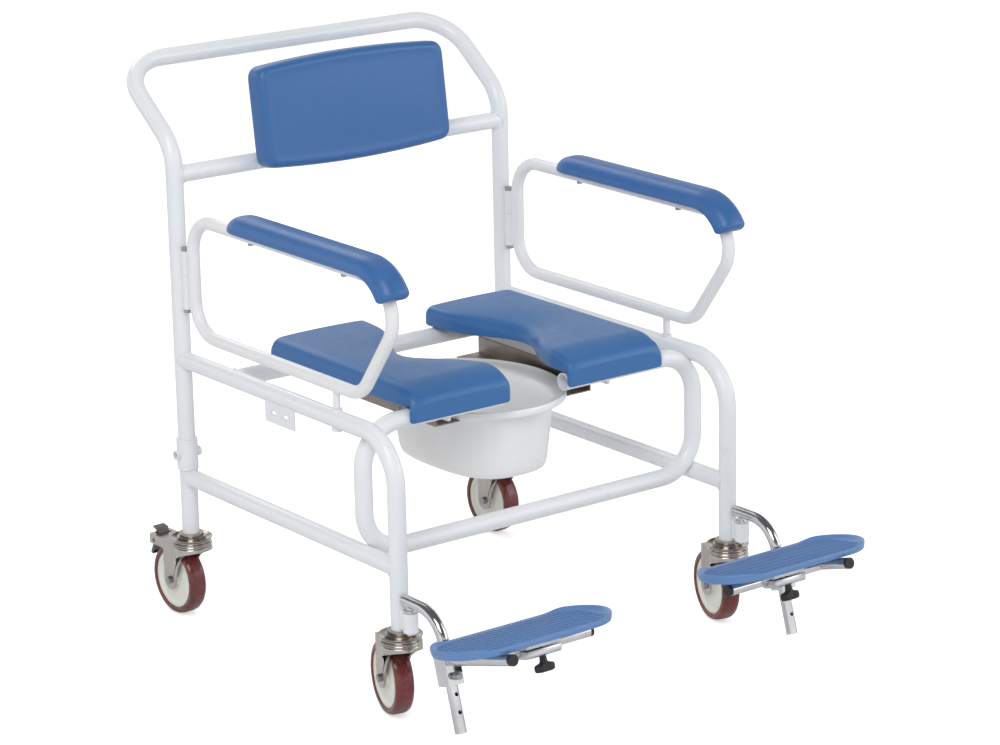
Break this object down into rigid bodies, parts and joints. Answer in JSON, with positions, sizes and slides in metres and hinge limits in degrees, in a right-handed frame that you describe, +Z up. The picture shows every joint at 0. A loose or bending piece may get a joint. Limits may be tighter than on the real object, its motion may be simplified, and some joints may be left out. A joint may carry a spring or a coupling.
{
  "type": "shower commode wheelchair",
  "caption": "Wheeled shower chair with an open split seat over a sliding pan, hinged arms, a reclined back pad, swing-away footrests and braked rear casters.",
  "frame": {"origin": "on the floor under the middle of the part's box", "axes": "+Z up, the sitter faces -Y, +X is the sitter's left"},
  "size_m": [0.864, 1.1192, 0.98],
  "materials": {
    "frame_paint": "gloss powder coat, off-white",
    "arm_paint": "gloss powder coat, off-white",
    "fastener_steel": "zinc plated",
    "back_pad_skin": "satin moulded foam skin, blue",
    "seat_pad_skin": "satin moulded foam skin, blue",
    "arm_pad_skin": "satin moulded foam skin, blue",
    "tray_steel": "plain sheet",
    "runner_steel": "plain sheet",
    "pan_plastic": "semi-gloss, white",
    "race_steel": "pressed",
    "fork_steel": "pressed",
    "axle_steel": "plain",
    "hub_nylon": "moulded nylon, off-white",
    "tyre_tread": "dark red-brown polyurethane",
    "brake_steel": "pressed",
    "hanger_chrome": "bright",
    "carrier_chrome": "bright",
    "cap_plastic": "black",
    "plunger_plastic": "black",
    "footplate_plastic": "moulded, light blue",
    "clamp_aluminium": "extruded",
    "knob_plastic": "black"
  },
  "bodies": {
    "frame": {"push_frame": "frame_paint", "side_tube_left": "frame_paint", "side_tube_right": "frame_paint", "lower_rails": "frame_paint", "rear_legs": "frame_paint", "upright_collars": "frame_paint", "front_loop": "frame_paint", "rear_seat_tube": "frame_paint", "back_crossbar": "frame_paint", "accessory_plates": "frame_paint", "footrest_sockets": "frame_paint", "arm_hinge_barrels": "frame_paint", "arm_hinge_bolts": "fastener_steel", "back_pad": "back_pad_skin", "back_pad_tabs": "frame_paint", "seat_pad_left": "seat_pad_skin", "seat_pad_right": "seat_pad_skin", "seat_trays": "tray_steel", "seat_bearers": "frame_paint", "pan_runners": "runner_steel", "caster_stems": "race_steel"},
    "pan_body": {"pan": "pan_plastic"},
    "arm_left": {"arm_frame_left": "arm_paint", "arm_pad_left": "arm_pad_skin", "arm_pad_screws_left": "fastener_steel"},
    "caster_front_left": {"fork_front_left": "fork_steel", "axle_front_left": "axle_steel"},
    "wheel_front_left": {"hub_front_left": "hub_nylon", "tyre_front_left": "tyre_tread"},
    "caster_rear_left": {"fork_rear_left": "fork_steel", "axle_rear_left": "axle_steel"},
    "wheel_rear_left": {"hub_rear_left": "hub_nylon", "tyre_rear_left": "tyre_tread"},
    "brake_left": {"brake_pedal_left": "brake_steel"},
    "footrest_left": {"hanger_left": "hanger_chrome"},
    "foot_carrier_left_body": {"foot_carrier_left": "carrier_chrome", "foot_caps_left": "cap_plastic"},
    "plunger_left": {"height_plunger_left": "plunger_plastic"},
    "plate_left": {"footplate_left": "footplate_plastic", "plate_clamp_left": "clamp_aluminium"},
    "knob_left": {"clamp_knob_left": "knob_plastic"},
    "arm_right": {"arm_frame_right": "arm_paint", "arm_pad_right": "arm_pad_skin", "arm_pad_screws_right": "fastener_steel"},
    "caster_front_right": {"fork_front_right": "fork_steel", "axle_front_right": "axle_steel"},
    "wheel_front_right": {"hub_front_right": "hub_nylon", "tyre_front_right": "tyre_tread"},
    "caster_rear_right": {"fork_rear_right": "fork_steel", "axle_rear_right": "axle_steel"},
    "wheel_rear_right": {"hub_rear_right": "hub_nylon", "tyre_rear_right": "tyre_tread"},
    "brake_right": {"brake_pedal_right": "brake_steel"},
    "footrest_right": {"hanger_right": "hanger_chrome"},
    "foot_carrier_right_body": {"foot_carrier_right": "carrier_chrome", "foot_caps_right": "cap_plastic"},
    "plunger_right": {"height_plunger_right": "plunger_plastic"},
    "plate_right": {"footplate_right": "footplate_plastic", "plate_clamp_right": "clamp_aluminium"},
    "knob_right": {"clamp_knob_right": "knob_plastic"}
  },
  "joints": [
    {"name": "pan_slide", "type": "slide", "parent": "frame", "child": "pan_body", "axis": [0, 1, 0], "range_m": [0, 0.16]},
    {"name": "arm_swing_left", "type": "hinge", "parent": "frame", "child": "arm_left", "pos_m": [0.345, 0.35658, 0.6], "axis": [0, 0, 1], "range_deg": [0, 100]},
    {"name": "caster_swivel_front_left", "type": "hinge", "parent": "frame", "child": "caster_front_left", "pos_m": [0.345, -0.25142, 0.14], "axis": [0, 0, 1], "continuous": true},
    {"name": "wheel_spin_front_left", "type": "hinge", "parent": "caster_front_left", "child": "wheel_front_left", "pos_m": [0.3554, -0.2097, 0.0625], "axis": [0.9703, -0.2419, 0], "continuous": true},
    {"name": "caster_swivel_rear_left", "type": "hinge", "parent": "frame", "child": "caster_rear_left", "pos_m": [0.345, 0.38058, 0.14], "axis": [0, 0, 1], "continuous": true},
    {"name": "wheel_spin_rear_left", "type": "hinge", "parent": "caster_rear_left", "child": "wheel_rear_left", "pos_m": [0.3435, 0.42355, 0.0625], "axis": [0.9994, 0.0349, 0], "continuous": true},
    {"name": "brake_press_left", "type": "hinge", "parent": "caster_rear_left", "child": "brake_left", "pos_m": [0.34186, 0.47052, 0.124], "axis": [-0.9994, -0.0349, 0], "range_deg": [0, 14]},
    {"name": "footrest_swing_left", "type": "hinge", "parent": "frame", "child": "footrest_left", "pos_m": [0.348, -0.28542, 0.18], "axis": [0, 0, 1], "range_deg": [0, 90]},
    {"name": "footrest_height_left", "type": "slide", "parent": "footrest_left", "child": "foot_carrier_left_body", "axis": [0, 0.28, 0.96], "range_m": [-0.058, 0]},
    {"name": "height_plunger_pull_left", "type": "slide", "parent": "foot_carrier_left_body", "child": "plunger_left", "axis": [0, -0.96, 0.28], "range_m": [0, 0.005], "stiffness_N_per_m": 600, "springref_m": -0.006},
    {"name": "footplate_shift_left", "type": "slide", "parent": "foot_carrier_left_body", "child": "plate_left", "axis": [1, 0, 0], "range_m": [-0.04, 0.03]},
    {"name": "clamp_knob_turn_left", "type": "hinge", "parent": "plate_left", "child": "knob_left", "pos_m": [0.255, -0.50748, 0.16754], "axis": [0, 0.28, 0.96], "range_deg": [0, 180]},
    {"name": "arm_swing_right", "type": "hinge", "parent": "frame", "child": "arm_right", "pos_m": [-0.345, 0.35658, 0.6], "axis": [0, 0, -1], "range_deg": [0, 100]},
    {"name": "caster_swivel_front_right", "type": "hinge", "parent": "frame", "child": "caster_front_right", "pos_m": [-0.345, -0.25142, 0.14], "axis": [0, 0, 1], "continuous": true},
    {"name": "wheel_spin_front_right", "type": "hinge", "parent": "caster_front_right", "child": "wheel_front_right", "pos_m": [-0.3346, -0.2097, 0.0625], "axis": [0.9703, -0.2419, 0], "continuous": true},
    {"name": "caster_swivel_rear_right", "type": "hinge", "parent": "frame", "child": "caster_rear_right", "pos_m": [-0.345, 0.38058, 0.14], "axis": [0, 0, 1], "continuous": true},
    {"name": "wheel_spin_rear_right", "type": "hinge", "parent": "caster_rear_right", "child": "wheel_rear_right", "pos_m": [-0.3465, 0.42355, 0.0625], "axis": [0.9994, 0.0349, 0], "continuous": true},
    {"name": "brake_press_right", "type": "hinge", "parent": "caster_rear_right", "child": "brake_right", "pos_m": [-0.34814, 0.47052, 0.124], "axis": [-0.9994, -0.0349, 0], "range_deg": [0, 14]},
    {"name": "footrest_swing_right", "type": "hinge", "parent": "frame", "child": "footrest_right", "pos_m": [-0.348, -0.28542, 0.18], "axis": [0, 0, -1], "range_deg": [0, 90]},
    {"name": "footrest_height_right", "type": "slide", "parent": "footrest_right", "child": "foot_carrier_right_body", "axis": [0, 0.28, 0.96], "range_m": [-0.058, 0]},
    {"name": "height_plunger_pull_right", "type": "slide", "parent": "foot_carrier_right_body", "child": "plunger_right", "axis": [0, -0.96, 0.28], "range_m": [0, 0.005], "stiffness_N_per_m": 600, "springref_m": -0.006},
    {"name": "footplate_shift_right", "type": "slide", "parent": "foot_carrier_right_body", "child": "plate_right", "axis": [-1, 0, 0], "range_m": [-0.04, 0.03]},
    {"name": "clamp_knob_turn_right", "type": "hinge", "parent": "plate_right", "child": "knob_right", "pos_m": [-0.255, -0.50748, 0.16754], "axis": [0, 0.28, 0.96], "range_deg": [0, 180]}
  ]
}
